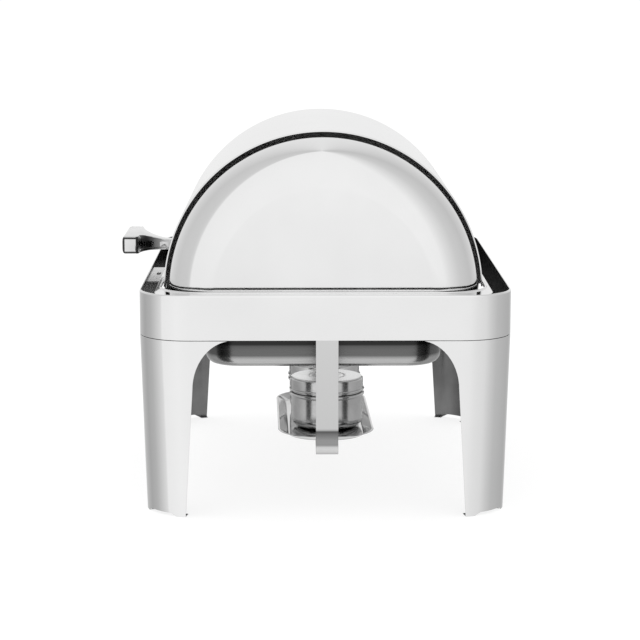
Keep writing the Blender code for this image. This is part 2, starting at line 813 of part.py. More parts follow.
def make_pot(name, slide, base):
    """A pressed pot, open at the top, with a rolled bead below its neck."""
    bead_height = POT_HEIGHT - 0.0060
    profile = [(POT_RADIUS - 0.0015, POT_HEIGHT)]
    profile += [(POT_RADIUS - 0.0015, bead_height + 0.0025)]
    profile += arc((POT_RADIUS - 0.0006, bead_height), BEAD_RADIUS + 0.0010, 80, -80, 4)
    profile += [(POT_RADIUS, POT_FILLET)]
    profile += arc((POT_RADIUS - POT_FILLET, POT_FILLET), POT_FILLET, 0, -90, 4)[1:]
    profile += [(0, 0)]
    solidify(turned("fuel_pot_" + name, profile, BRUSHED, POT_STEPS, slide, base), POT_WALL)


def make_cover(name, slide, base):
    """A pressed cover over the pot's neck, with a bead at its edge and a ring pressed in its top."""
    low = POT_HEIGHT - 0.0015
    top = low + COVER_HEIGHT
    profile = [
        (0, top), (0.0220, top), (0.0232, top - 0.0008), (0.0244, top),
        (COVER_RADIUS - 0.0035, top), (COVER_RADIUS - 0.0010, top - 0.0010),
        (COVER_RADIUS, top - 0.0035), (COVER_RADIUS, low + 2 * BEAD_RADIUS),
    ]
    profile += arc((COVER_RADIUS, low + BEAD_RADIUS), BEAD_RADIUS, 60, -90, 3)
    solidify(turned("pot_cover_" + name, profile, BRUSHED, POT_STEPS, slide, base), POT_WALL)


def main():
    make_band()
    for end, side_x in SIDES:
        for long_side, side_y in (("front", -1), ("rear", 1)):
            corner = f"{long_side}_{end}"
            make_leg("leg_" + corner, side_x, side_y)
            make_leg_joint("leg_joint_" + corner, side_x, side_y)
    make_collar()
    make_collar_bracket()
    for name, side in SIDES:
        make_pivot(name, side)
        make_pan_rest(name, side)
    make_lid()
    make_pan("water_pan", WATER_FLANGE, WATER_OPENING, WATER_FLOOR, WATER_TOP, WATER_BOTTOM)
    make_pan("food_pan", FOOD_FLANGE, FOOD_OPENING, FOOD_FLOOR, FOOD_TOP, FOOD_TOP - FOOD_DEPTH)
    make_strap()
    make_burners()


main()
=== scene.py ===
"""Visual model of the roll-top chafing dish food warmer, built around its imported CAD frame.

Metres, +Z up, in the CAD's own frame: X is the long way and the handle is at the front, towards -Y. The
sheet-metal, turned and cast pieces are rebuilt finely from the frame's boxes, and the small fittings are
the CAD's own shapes with their edges eased.
"""

import json
import math

import bmesh
import bpy
from mathutils import Matrix, Vector


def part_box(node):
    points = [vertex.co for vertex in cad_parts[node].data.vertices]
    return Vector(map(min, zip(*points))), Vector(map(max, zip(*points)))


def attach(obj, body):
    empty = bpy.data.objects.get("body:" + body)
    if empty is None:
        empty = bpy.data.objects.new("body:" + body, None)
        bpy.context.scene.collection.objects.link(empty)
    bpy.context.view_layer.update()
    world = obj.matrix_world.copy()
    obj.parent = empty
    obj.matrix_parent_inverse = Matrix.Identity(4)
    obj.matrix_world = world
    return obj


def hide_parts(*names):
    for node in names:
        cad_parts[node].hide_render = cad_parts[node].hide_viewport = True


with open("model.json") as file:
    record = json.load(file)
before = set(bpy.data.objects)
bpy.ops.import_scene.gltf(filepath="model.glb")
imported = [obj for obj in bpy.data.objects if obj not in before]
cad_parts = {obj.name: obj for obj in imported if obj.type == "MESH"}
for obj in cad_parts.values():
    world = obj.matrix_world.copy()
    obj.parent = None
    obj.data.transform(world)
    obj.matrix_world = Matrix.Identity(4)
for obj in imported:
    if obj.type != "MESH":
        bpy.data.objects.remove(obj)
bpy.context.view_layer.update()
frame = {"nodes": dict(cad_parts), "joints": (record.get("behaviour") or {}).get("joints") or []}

# Sheet and edges. INSIDE_BOX keeps the band within the CAD's box, and GAP is an air gap.
CORNER_STEPS = 20
ROUND_STEPS = 128
EDGE_EASE = 0.00025
INSIDE_BOX = 0.000005
SHEET_WALL = 0.0008
GAP = 0.0003

# Frame band and legs
CORNER_RADIUS = 0.0630
BAND_WALL = 0.0010
RIM_LIP = 0.0022
LEG_WALL = 0.0012
LEG_LEAN = 0.0060
LEG_SEAM = 0.0005
LEG_GAP_FOOT = 0.1728
LEG_GAP_ARCH = 0.1628
LEG_ARCH_START = 0.1600
LEG_ARCH_HEIGHT = 0.0620
LEG_ARCH_REACH = 0.0500
LEG_COLUMNS = 48
TAB_COLUMNS = 8
LEG_STRAIGHT_ROWS = (0.06, 0.2, 0.4, 0.6, 0.8, 1.0)
LEG_ARCH_ROWS = 14
FOOT_TAB = 0.0140
FOOT_NOTCH = 0.0040

# Lid
LID_WALL = 0.0008
LID_HEM = 0.0010
LID_EDGE = 0.0045
CAP_LAP_RADIUS = 0.1937
CAP_SHOULDER = 0.0600
CAP_LAP = 0.0100
CAP_FLANGE = 0.0065
CAP_FLANGE_RADIUS = 0.1990

# Collar. The bead's profile runs from the opening outwards, in shares of its width and its drop.
COLLAR_RADIUS = 0.0460
COLLAR_OPEN_RADIUS = 0.0560
COLLAR_LEDGE_X = 0.0282
COLLAR_LEDGE_Y = 0.0039
COLLAR_BEAD_X = 0.0030
COLLAR_BEAD_Y = 0.0024
COLLAR_BEAD_DROP = 0.0015
COLLAR_EDGE = 0.0008
COLLAR_SKIRT = 0.0010
BEAD_PROFILE = (
    (0, 0.40), (0.05, 0.20), (0.16, 0.07), (0.32, 0), (0.52, 0),
    (0.68, 0.13), (0.80, 0.40), (0.90, 0.77), (1, 0.93), (1.15, 1),
)

# Handle
HANDLE_HALF = 0.0590
HANDLE_NECK = 0.0125
HANDLE_DEPTH = 0.0213
HANDLE_ROUND = 0.0045
HANDLE_NECK_ROOM = 0.0150
HANDLE_BOTTOM = 0.2950
HANDLE_TOP = 0.3186
HANDLE_ROOT_TOP = 0.3080
# Faces steeper than these are rounded edges and neck sides, which get painted shade.
FLAT_TOP = 0.75
FLAT_SIDE = 0.97
FOOT_HALF = 0.0230
FOOT_WALL = 0.0030
FOOT_OVERHANG = 0.0040
FOOT_CORNER = 0.0040

# Pans
PAN_CORNER = 0.0500
PAN_FLANGE_CORNER = 0.0540
PAN_FLOOR_CORNER = 0.0440
PAN_FILLET = 0.0120
PAN_LIP = 0.0006
PAN_EDGE_ROUND = 0.0020
WATER_PAN_FLANGE = (0.0105, 0.0140)
WATER_PAN_FLOOR = (0.0220, 0.0205)
FOOD_PAN_FLANGE = (0.0125, 0.0125)
FOOD_PAN_FLOOR = (0.0245, 0.0245)

# Burners. A strap bend is how far in from the strap's end and how high over its base. The cover's rings
# are (radius, how far below its top).
STRAP_WALL = 0.0015
STRAP_EDGE = 0.0004
STRAP_BEND = 0.0022
STRAP_BENDS = ((0, 0.0330), (0.0082, 0.0150), (0.0037, 0.0060), (0.0057, 0))
TRAY_TURN = math.radians(1.25)
TRAY_RIM = (0.1550, 0.0611)
TRAY_RIM_RADIUS = 0.0550
TRAY_RIM_ROWS = ((0, 0, 0.0008), (0.0004, 0.0004, 0), (0.0024, 0.0024, 0), (0.0031, 0.0031, 0.0005))
TRAY_BASE_ROWS = ((0.0110, 0.0121, 0.0020), (0.0122, 0.0133, 0.0008))
POT_RADIUS = 0.0465
POT_HEIGHT = 0.0490
POT_NECK = 0.0015
POT_BEAD_DROP = 0.0060
POT_BEAD_INSET = 0.0006
POT_BEAD_RADIUS = 0.0026
POT_BEAD_ABOVE = 0.0028
POT_BEAD_BELOW = 0.0040
POT_FILLET = 0.0120
POT_FOOT = ((0.0240, 0), (0.0232, 0.0006), (0.0224, 0.0006), (0, 0.0006))
COVER_RADIUS = 0.0470
COVER_SHOULDER = 0.0035
COVER_RINGS = (
    (0, 0.0004), (0.0060, 0.0004), (0.0200, 0), (0.0216, 0),
    (0.0226, 0.0009), (0.0238, 0.0009), (0.0248, 0),
)
COVER_BEAD_RADIUS = 0.0016
COVER_BEAD_ABOVE = 0.0004

LID_AXIS = Vector(next(j for j in frame["joints"] if j["name"] == "lid_roll")["pos_m"])
ENDS = (("left", -1), ("right", 1))
ROWS = (("front", -1), ("rear", 1))
CORNERS = [(f"{row}_{end}", side_x, side_y) for row, side_y in ROWS for end, side_x in ENDS]


# Shapes


def finished(name, work):
    """The mesh that a bmesh was built for."""
    mesh = bpy.data.meshes.new(name)
    work.to_mesh(mesh)
    work.free()
    return mesh


def ring_surface(rings, closed=True, start_cap=False, end_cap=False):
    """A surface through rows of points with the same number of points in each."""
    work = bmesh.new()
    rows = [[work.verts.new(point) for point in ring] for ring in rings]
    count = len(rows[0])
    for lower, upper in zip(rows, rows[1:]):
        for index in range(count if closed else count - 1):
            after = (index + 1) % count
            work.faces.new((lower[index], lower[after], upper[after], upper[index]))
    if start_cap:
        work.faces.new(list(reversed(rows[0])))
    if end_cap:
        work.faces.new(rows[-1])
    return work


def arc(centre, radius, start, end, steps):
    """Points on a circle about (across, up), from a start to an end angle in degrees."""
    angles = [math.radians(start + (end - start) * step / steps) for step in range(steps + 1)]
    return [(centre[0] + radius * math.cos(a), centre[1] + radius * math.sin(a)) for a in angles]


def rounded_outline(half_x, half_y, radius, steps=CORNER_STEPS):
    """A rounded rectangle's points, anticlockwise from the start of its +X +Y corner."""
    points = []
    for quarter, (side_x, side_y) in enumerate(((1, 1), (-1, 1), (-1, -1), (1, -1))):
        centre = (side_x * (half_x - radius), side_y * (half_y - radius))
        points += arc(centre, radius, 90 * quarter, 90 * quarter + 90, steps)
    return points


def lofted(sections, middle, floor=False):
    """A surface through rounded rectangles given as (half_x, half_y, radius, z)."""
    rings = [
        [(middle.x + x, middle.y + y, height) for x, y in rounded_outline(half_x, half_y, radius)]
        for half_x, half_y, radius, height in sections
    ]
    return ring_surface(rings, end_cap=floor)


def turned(profile, steps=ROUND_STEPS):
    """A profile of (radius, height), turned round the Z axis. A radius of 0 is a flat or domed middle."""
    work = bmesh.new()
    rows = []
    for radius, height in profile:
        if radius == 0:
            rows.append([work.verts.new((0, 0, height))] * steps)
            continue
        angles = [2 * math.pi * step / steps for step in range(steps)]
        rows.append([work.verts.new((radius * math.cos(a), radius * math.sin(a), height)) for a in angles])
    for lower, upper in zip(rows, rows[1:]):
        for index in range(steps):
            after = (index + 1) % steps
            corners = dict.fromkeys((lower[index], lower[after], upper[after], upper[index]))
            work.faces.new(list(corners))
    return work


def orient(work, outward):
    """Turns an open surface's faces so that they look the way that outward gives at their middles."""
    bmesh.ops.recalc_face_normals(work, faces=work.faces)
    work.normal_update()
    votes = sum(
        face.normal.dot(outward(face.calc_center_median())) * face.calc_area() for face in work.faces
    )
    if votes < 0:
        bmesh.ops.reverse_faces(work, faces=work.faces)


def shown(name, mesh, materials, body, nodes, location=(0, 0, 0), turn=0.0):
    """A piece of the visual model, riding on a body in place of CAD nodes."""
    piece = bpy.data.objects.new(name, mesh)
    for material in materials:
        mesh.materials.append(material)
    mesh.shade_smooth()
    bpy.context.scene.collection.objects.link(piece)
    piece.location = location
    piece.rotation_euler.z = turn
    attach(piece, body)
    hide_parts(*nodes)
    return piece


def ease_edges(piece, width=EDGE_EASE, angle=35):
    """Rounds the sheet's cut edges a little, and keeps the flat faces flat in reflections."""
    bevel = piece.modifiers.new("eased_edges", "BEVEL")
    bevel.width = width
    bevel.segments = 2
    bevel.limit_method = "ANGLE"
    bevel.angle_limit = math.radians(angle)
    normals = piece.modifiers.new("flat_faces", "WEIGHTED_NORMAL")
    normals.mode = "FACE_AREA"
    normals.weight = 50


def walled(piece, wall, inside_material=0):
    """Gives an open surface its wall, inwards from its normals.

    The wall's other side has the material that many slots further on.
    """
    modifier = piece.modifiers.new("wall", "SOLIDIFY")
    modifier.thickness = wall
    modifier.offset = -1
    modifier.use_even_offset = True
    modifier.material_offset = inside_material
    ease_edges(piece)
    return piece


# Materials


class Steel:
    """A metal's node tree, with the few nodes that every finish here is made from."""

    def __init__(self, name, metallic=1.0):
        self.material = bpy.data.materials.new(name)
        self.material.use_nodes = True
        self.tree = self.material.node_tree
        self.shader = self.tree.nodes["Principled BSDF"]
        self.shader.inputs["Metallic"].default_value = metallic
        self.place = self.tree.nodes.new("ShaderNodeTexCoord").outputs["Object"]

    def link(self, source, target):
        self.tree.links.new(source, target)

    def noise(self, scale, detail=3.0, stretch=(1, 1, 1), where=None):
        """Noise in object space, drawn out along the axes with a small stretch value."""
        mapping = self.tree.nodes.new("ShaderNodeMapping")
        mapping.inputs["Scale"].default_value = stretch
        self.link(where or self.place, mapping.inputs["Vector"])
        noise = self.tree.nodes.new("ShaderNodeTexNoise")
        noise.inputs["Scale"].default_value = scale
        noise.inputs["Detail"].default_value = detail
        self.link(mapping.outputs["Vector"], noise.inputs["Vector"])
        return noise.outputs["Fac"]

    def spread(self, value, low, high):
        """A noise value, most of which lies from 0.3 to 0.7, spread from low to high."""
        node = self.tree.nodes.new("ShaderNodeMapRange")
        node.inputs["From Min"].default_value = 0.3
        node.inputs["From Max"].default_value = 0.7
        node.inputs["To Min"].default_value = low
        node.inputs["To Max"].default_value = high
        self.link(value, node.inputs["Value"])
        return node.outputs["Result"]

    def bump(self, height, distance, below=None):
        """Adds relief, on top of the relief below it."""
        node = self.tree.nodes.new("ShaderNodeBump")
        node.inputs["Strength"].default_value = 1.0
        node.inputs["Distance"].default_value = distance
        self.link(height, node.inputs["Height"])
        if below is not None:
            self.link(below, node.inputs["Normal"])
        return node.outputs["Normal"]

    def tint(self, value, dark, light):
        """Colours the metal between two greys."""
        ramp = self.tree.nodes.new("ShaderNodeValToRGB")
        for stop, grey in zip(ramp.color_ramp.elements, (dark, light)):
            stop.color = (grey, grey, grey, 1)
        ramp.color_ramp.elements[0].position = 0.3
        ramp.color_ramp.elements[1].position = 0.7
        self.link(value, ramp.inputs["Fac"])
        self.link(ramp.outputs["Color"], self.shader.inputs["Base Color"])

    def finish(self, roughness, normal):
        self.link(roughness, self.shader.inputs["Roughness"])
        self.link(normal, self.shader.inputs["Normal"])
        return self.material


def polished_sheet(name, dark, light, ripple=0.00004, roughness=(0.035, 0.075)):
    """Mirror-polished sheet: faint ripples from pressing, and fine wiping marks."""
    steel = Steel(name)
    steel.tint(steel.noise(9, 4), dark, light)
    marks = steel.noise(160, 6, stretch=(1, 0.25, 1))
    ripples = steel.bump(steel.noise(7, 2), ripple)
    scratches = steel.bump(marks, 0.0000015, ripples)
    return steel.finish(steel.spread(marks, *roughness), scratches)


def brushed_sheet(name, dark, light, stretch, roughness=(0.16, 0.30), metallic=1.0):
    """Sheet with a brushed grain, drawn out along the axes with a small stretch value."""
    steel = Steel(name, metallic)
    steel.tint(steel.noise(14, 5), dark, light)
    grain = steel.noise(420, 4, stretch=stretch)
    ripples = steel.bump(steel.noise(12, 2), 0.00006)
    lines = steel.bump(grain, 0.000006, ripples)
    return steel.finish(steel.spread(grain, *roughness), lines)


def spun_steel(name, dark, light, roughness=(0.14, 0.26)):
    """Spun sheet, with turning marks round the Z axis on its sides and in rings on its flats."""
    steel = Steel(name)
    split = steel.tree.nodes.new("ShaderNodeSeparateXYZ")
    steel.link(steel.place, split.inputs["Vector"])
    flat = steel.tree.nodes.new("ShaderNodeVectorMath")
    flat.operation = "MULTIPLY"
    flat.inputs[1].default_value = (1, 1, 0)
    steel.link(steel.place, flat.inputs[0])
    radius = steel.tree.nodes.new("ShaderNodeVectorMath")
    radius.operation = "LENGTH"
    steel.link(flat.outputs["Vector"], radius.inputs[0])
    turned_place = steel.tree.nodes.new("ShaderNodeCombineXYZ")
    steel.link(radius.outputs["Value"], turned_place.inputs["X"])
    steel.link(split.outputs["Z"], turned_place.inputs["Y"])
    rings = steel.noise(900, 4, where=turned_place.outputs["Vector"])
    steel.tint(steel.noise(26, 4), dark, light)
    ripples = steel.bump(steel.noise(18, 2), 0.00008)
    lines = steel.bump(rings, 0.000005, ripples)
    return steel.finish(steel.spread(rings, *roughness), lines)


def cast_steel(name, dark, light):
    """Polished casting: soft dents left by hand polishing, and small pits."""
    steel = Steel(name)
    steel.tint(steel.noise(30, 4), dark, light)
    dents = steel.bump(steel.noise(55, 2), 0.00018)
    pits = steel.noise(700, 5)
    return steel.finish(steel.spread(pits, 0.05, 0.13), steel.bump(pits, 0.000004, dents))


def painted_light_bands(material, axis, bands):
    """Paints shade and reflections into a metal's colour along an axis: each grey stands in for what the
    metal would reflect and the shade on it there. Bands are (place, grey).
    """
    tree = material.node_tree
    shader = tree.nodes["Principled BSDF"]
    split = tree.nodes.new("ShaderNodeSeparateXYZ")
    tree.links.new(tree.nodes.new("ShaderNodeTexCoord").outputs["Object"], split.inputs["Vector"])
    low, high = bands[0][0], bands[-1][0]
    share = tree.nodes.new("ShaderNodeMapRange")
    share.inputs["From Min"].default_value = low
    share.inputs["From Max"].default_value = high
    tree.links.new(split.outputs[axis], share.inputs["Value"])
    stops = [((place - low) / (high - low), grey) for place, grey in bands]
    colour = grey_ramp(tree, share.outputs["Result"], stops)
    tree.links.new(colour, shader.inputs["Base Color"])
    return material


def grey_ramp(tree, value, stops):
    """A ramp through (position, grey) stops."""
    ramp = tree.nodes.new("ShaderNodeValToRGB")
    elements = ramp.color_ramp.elements
    elements.remove(elements[-1])
    for index, (position, grey) in enumerate(stops):
        element = elements[0] if index == 0 else elements.new(position)
        element.position = position
        element.color = (grey, grey, grey, 1)
    tree.links.new(value, ramp.inputs["Fac"])
    return ramp.outputs["Color"]


POLISHED = polished_sheet("polished_steel", 0.84, 0.88)
LID_POLISHED = polished_sheet("polished_lid_steel", 0.82, 0.86, ripple=0.00003)
# The band's inside: rougher unpolished steel, its near-black grey painted shade.
DULL_AND_PAINTED_SHADE = brushed_sheet("unpolished_inside_painted_shade", 0.05, 0.09, (0.05, 0.05, 1), (0.22, 0.36))
INSIDE_LID = brushed_sheet("lid_inside", 0.34, 0.44, (0.05, 1, 1), (0.30, 0.42), metallic=0.35)
# Near black and not metallic: painted shade on the band's rear inside.
PAINTED_SHADE_BLACK = brushed_sheet("painted_shade_rear_inside", 0.002, 0.004, (0.05, 0.05, 1), (0.45, 0.60), metallic=0.0)
PAINTED_SHADE_BLACK.node_tree.nodes["Principled BSDF"].inputs["Specular IOR Level"].default_value = 0.05
# The legs' inner faces: brushed steel darkened as painted shade.
INSIDE_LEG_PAINTED_SHADE = brushed_sheet("leg_inside_painted_shade", 0.10, 0.20, (1, 1, 0.05), (0.14, 0.24))
PAN = brushed_sheet("pressed_pan_steel", 0.62, 0.72, (0.04, 0.04, 1), (0.10, 0.20))
# The water pan's outside, by height: painted shade, near black under the band, and painted reflections,
# lighter towards its bottom edge.
PAN_OUTSIDE_PAINTED_SHADE = painted_light_bands(brushed_sheet("pan_outside_painted_shade", 0.30, 0.40, (0.04, 0.04, 1), (0.20, 0.32)), "Z", (
    (0.1770, 0.85), (0.1774, 0.50), (0.1784, 0.40), (0.1825, 0.52), (0.1870, 0.50), (0.1895, 0.36),
    (0.1920, 0.16), (0.2000, 0.15), (0.2040, 0.12), (0.2065, 0.035), (0.2300, 0.035),
))
# The strap's greys by height: painted shade, dark on its slanted bend, and painted reflections, lighter
# below and above it.
STRAP_PAINTED_SHADE = painted_light_bands(brushed_sheet("strap_painted_shade", 0.58, 0.66, (1, 1, 0.03), (0.10, 0.18)), "Z", (
    (0.0790, 0.46), (0.0835, 0.66), (0.0880, 0.60), (0.0905, 0.28), (0.0960, 0.32), (0.1050, 0.18),
    (0.1085, 0.10), (0.1100, 0.40), (0.1125, 0.60), (0.2390, 0.66),
))
BRACKET = brushed_sheet("bracket_steel", 0.56, 0.64, (1, 0.05, 1), (0.16, 0.26))
TRAY = brushed_sheet("tray_steel", 0.52, 0.70, (1, 1, 0.03), (0.06, 0.12))
SPUN = spun_steel("spun_pot_steel", 0.46, 0.64)
# The covers' tops: smoother spun steel, its much lighter grey painted light from above.
SPUN_TOP_PAINTED_LIGHT = spun_steel("spun_cover_top_painted_light", 0.90, 0.96, (0.10, 0.18))
CAST = cast_steel("cast_handle_steel", 0.66, 0.78)
# Near-black copy of the casting for the handle's rounded edges: painted shade.
CAST_EDGE_PAINTED_SHADE = cast_steel("cast_handle_edges_painted_shade", 0.03, 0.08)
# The handle's neck: painted shade, near black by the bar and lightening towards the lid.
CAST_NECK_PAINTED_SHADE = painted_light_bands(cast_steel("cast_handle_neck_painted_shade", 0.30, 0.50), "Y", (
    (-0.2300, 0.02), (-0.2180, 0.03), (-0.2080, 0.16), (-0.1970, 0.34), (-0.1870, 0.70),
))
PLAIN = brushed_sheet("plain_fitting_steel", 0.50, 0.62, (0.1, 1, 1))


# Frame


def make_band():
    """The apron: one ring of sheet, its top edge turned inwards. Its inside is unpolished steel darkened
    as painted shade, near black at the rear as painted shade.
    """
    low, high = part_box("frame_band")
    middle = (low + high) / 2
    half = (high - low) / 2 - Vector((INSIDE_BOX, INSIDE_BOX, 0))
    sections = []
    for angle in range(0, 91, 15):
        inward = RIM_LIP * (1 - math.sin(math.radians(angle)))
        up = RIM_LIP * math.cos(math.radians(angle))
        sections.append((half.x - inward, half.y - inward, CORNER_RADIUS - inward, high.z - RIM_LIP + up))
    sections.append((half.x, half.y, CORNER_RADIUS, low.z))
    work = lofted(sections, middle)
    orient(work, lambda point: Vector((point.x, point.y - middle.y, 0)))
    materials = [POLISHED, POLISHED, DULL_AND_PAINTED_SHADE, PAINTED_SHADE_BLACK]
    piece = shown("band", finished("band", work), materials, "frame", ["frame_band"])
    # Rear faces: their inside gets the near-black painted shade.
    for face in piece.data.polygons:
        face.material_index = int(face.center.y > middle.y)
    walled(piece, BAND_WALL, inside_material=2)


def leg_gap(height):
    """Half the gap between two legs, seen from the frame's end, at a height."""
    if height <= LEG_ARCH_START:
        return LEG_GAP_FOOT + (LEG_GAP_ARCH - LEG_GAP_FOOT) * height / LEG_ARCH_START
    rise = min((height - LEG_ARCH_START) / LEG_ARCH_HEIGHT, 1)
    return LEG_GAP_ARCH - LEG_ARCH_REACH * (1 - math.sqrt(1 - rise * rise))


def corner_reach(gap, straight):
    """How far along the corner's path a flange's edge lies, where the edge is gap from the middle."""
    if gap <= straight:
        return gap
    return straight + CORNER_RADIUS * math.asin((gap - straight) / CORNER_RADIUS)


def corner_point(reach, half_x, half_y):
    """The point and the outward direction at a distance along the path round a +X +Y corner."""
    straight = half_y - CORNER_RADIUS
    turn = CORNER_RADIUS * math.pi / 2
    if reach < straight:
        return Vector((half_x, reach, 0)), Vector((1, 0, 0))
    if reach > straight + turn:
        past = reach - straight - turn
        return Vector((half_x - CORNER_RADIUS - past, half_y, 0)), Vector((0, 1, 0))
    angle = (reach - straight) / CORNER_RADIUS
    outward = Vector((math.cos(angle), math.sin(angle), 0))
    return Vector((half_x - CORNER_RADIUS, straight, 0)) + CORNER_RADIUS * outward, outward


def leg_row(height, half, top, inset=0.0):
    """The points of a leg's outer face at one height, from its end flange to its long flange."""
    lean = LEG_LEAN * (1 - height / top)
    half_x = half.x - lean
    half_y = half.y - lean
    gap = leg_gap(height)
    path = half_y + half_x - 2 * CORNER_RADIUS + CORNER_RADIUS * math.pi / 2
    start = corner_reach(gap, half_y - CORNER_RADIUS)
    end = path - corner_reach(gap + half.x - half.y, half_x - CORNER_RADIUS)
    points = []
    for column in range(LEG_COLUMNS + 1):
        point, outward = corner_point(start + (end - start) * column / LEG_COLUMNS, half_x, half_y)
        points.append(point - inset * outward + Vector((0, 0, height)))
    return points


def make_leg(corner, side_x, side_y):
    """A bent sheet leg. The sheet is folded in at the foot at both ends, with an arched notch between."""
    low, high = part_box("frame_band")
    half = (high - low) / 2
    middle_y = (low.y + high.y) / 2
    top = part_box("leg_" + corner)[1].z - LEG_SEAM
    heights = [0.0] + [LEG_ARCH_START * share for share in LEG_STRAIGHT_ROWS]
    for row in range(1, LEG_ARCH_ROWS):
        share = math.sin(row / LEG_ARCH_ROWS * math.pi / 2)
        heights.append(LEG_ARCH_START + (top - LEG_ARCH_START) * share)
    rows = [leg_row(height, half, top) for height in heights + [top]]
    foot = leg_row(0.0, half, top, FOOT_TAB)
    for column in range(TAB_COLUMNS + 1, LEG_COLUMNS - TAB_COLUMNS):
        share = (column - TAB_COLUMNS) / (LEG_COLUMNS - 2 * TAB_COLUMNS)
        rows[0][column].z = FOOT_NOTCH * min(1, 8 * share * (1 - share))
    work = bmesh.new()

    def corner_vertex(point):
        return work.verts.new((side_x * point.x, side_y * point.y + middle_y, point.z))

    grid = [[corner_vertex(point) for point in row] for row in rows]
    for lower, upper in zip(grid, grid[1:]):
        for column in range(LEG_COLUMNS):
            work.faces.new((lower[column], lower[column + 1], upper[column + 1], upper[column]))
    for first in (0, LEG_COLUMNS - TAB_COLUMNS):
        tabs = [corner_vertex(foot[first + step]) for step in range(TAB_COLUMNS + 1)]
        for step in range(TAB_COLUMNS):
            column = first + step
            work.faces.new((tabs[step], tabs[step + 1], grid[0][column + 1], grid[0][column]))
    orient(work, lambda point: Vector((point.x, point.y - middle_y, 0)))
    name = "leg_sheet_" + corner
    piece = shown(name, finished(name, work), [POLISHED, INSIDE_LEG_PAINTED_SHADE], "frame", ["leg_" + corner])
    walled(piece, LEG_WALL, inside_material=1)


def make_collar():
    """The ledge ring that the lid rolls through, with a raised bead round its opening."""
    low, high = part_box("lid_collar")
    middle = (low + high) / 2
    half = (high - low) / 2
    open_x = half.x - COLLAR_LEDGE_X - COLLAR_BEAD_X
    open_y = half.y - COLLAR_LEDGE_Y - COLLAR_BEAD_Y
    ledge = high.z - COLLAR_BEAD_DROP
    bead = [(0, low.z)] + [(share, high.z - drop * COLLAR_BEAD_DROP) for share, drop in BEAD_PROFILE]
    sections = [
        (open_x + share * COLLAR_BEAD_X, open_y + share * COLLAR_BEAD_Y, COLLAR_OPEN_RADIUS, height)
        for share, height in bead
    ]
    for angle in range(0, 91, 30):
        inward = COLLAR_EDGE * (1 - math.sin(math.radians(angle)))
        down = COLLAR_EDGE * (1 - math.cos(math.radians(angle)))
        sections.append((half.x - inward, half.y - inward, COLLAR_RADIUS - inward, ledge - down))
    sections.append((half.x, half.y, COLLAR_RADIUS, ledge - COLLAR_SKIRT))
    work = lofted(sections, middle)
    orient(work, lambda point: Vector((0, 0, 1)))
    piece = shown("collar", finished("collar", work), [POLISHED], "frame", ["lid_collar"])
    walled(piece, SHEET_WALL)


# Lid


def lid_point(radius, angle, along):
    """A point on the lid: its distance from the axis, its angle up from the front, and its X."""
    return Vector((along, LID_AXIS.y - radius * math.cos(angle), LID_AXIS.z + radius * math.sin(angle)))


def half_turned(profile, steps=ROUND_STEPS):
    """A profile of (radius, x), turned over the lid's axis from its front edge to its rear edge."""
    rings = []
    for radius, along in profile:
        start = math.asin(LID_EDGE / radius)
        angles = [start + (math.pi - 2 * start) * step / steps for step in range(steps + 1)]
        rings.append([lid_point(radius, angle, along) for angle in angles])
    return rings


def away_from_lid_axis(point):
    return Vector((0, point.y - LID_AXIS.y, point.z - LID_AXIS.z))


def make_lid_shell():
    """The rolled sheet, with a hemmed edge at each end."""
    low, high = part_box("lid_shell")
    radius = high.z - LID_AXIS.z
    bead = arc((radius - LID_HEM, high.x - LID_HEM), LID_HEM, 180, 0, 12)
    profile = bead + [(across, -along) for across, along in reversed(bead)]
    work = ring_surface(half_turned(profile), closed=False)
    orient(work, away_from_lid_axis)
    materials = [LID_POLISHED, INSIDE_LID]
    piece = shown("lid_wrap", finished("lid_wrap", work), materials, "lid", ["lid_shell"])
    walled(piece, LID_WALL, inside_material=1)


def make_lid_end(name, side):
    """A pressed end: a lap inside the wrap, a round shoulder and a flat face."""
    low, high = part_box("lid_shoulder_right")
    centre = (CAP_LAP_RADIUS - CAP_SHOULDER, high.x - CAP_SHOULDER)
    profile = arc(centre, CAP_SHOULDER, 90, 0, 24) + [(CAP_LAP_RADIUS, low.x + CAP_LAP)]
    profile += [(CAP_FLANGE_RADIUS, low.x + CAP_FLANGE), (CAP_FLANGE_RADIUS, low.x)]
    rings = half_turned([(radius, side * along) for radius, along in profile])
    work = ring_surface(rings, closed=False, start_cap=True)
    orient(work, lambda point: Vector((side * 0.02, 0, 0)) + away_from_lid_axis(point))
    piece = shown(
        "lid_cap_" + name, finished("lid_cap_" + name, work), [LID_POLISHED, INSIDE_LID],
        "lid", ["lid_end_" + name, "lid_shoulder_" + name],
    )
    walled(piece, LID_WALL, inside_material=1)


# Handle


def handle_rows(front, root):
    """The handle's stations from its front face to its root, as (y, half width, inset)."""
    back = front + HANDLE_DEPTH
    rows = []
    for angle in range(0, 91, 15):
        inset = HANDLE_ROUND * (1 - math.cos(math.radians(angle)))
        rows.append((front + HANDLE_ROUND * (1 - math.sin(math.radians(angle))), HANDLE_HALF, inset))
    rows.reverse()
    for angle in range(0, 91, 15):
        turn = math.radians(angle)
        across = HANDLE_HALF - HANDLE_ROUND * (1 - math.cos(turn))
        rows.append((back - HANDLE_ROUND + HANDLE_ROUND * math.sin(turn), across, 0))
    reach_x = HANDLE_HALF - HANDLE_ROUND - HANDLE_NECK
    reach_y = root - back - HANDLE_NECK_ROOM
    for step in range(1, 25):
        turn = step / 24 * math.pi / 2
        across = HANDLE_HALF - HANDLE_ROUND - reach_x * math.sin(turn)
        rows.append((back + reach_y * (1 - math.cos(turn)), across, 0))
    rows.append((root, HANDLE_NECK, 0))
    return rows


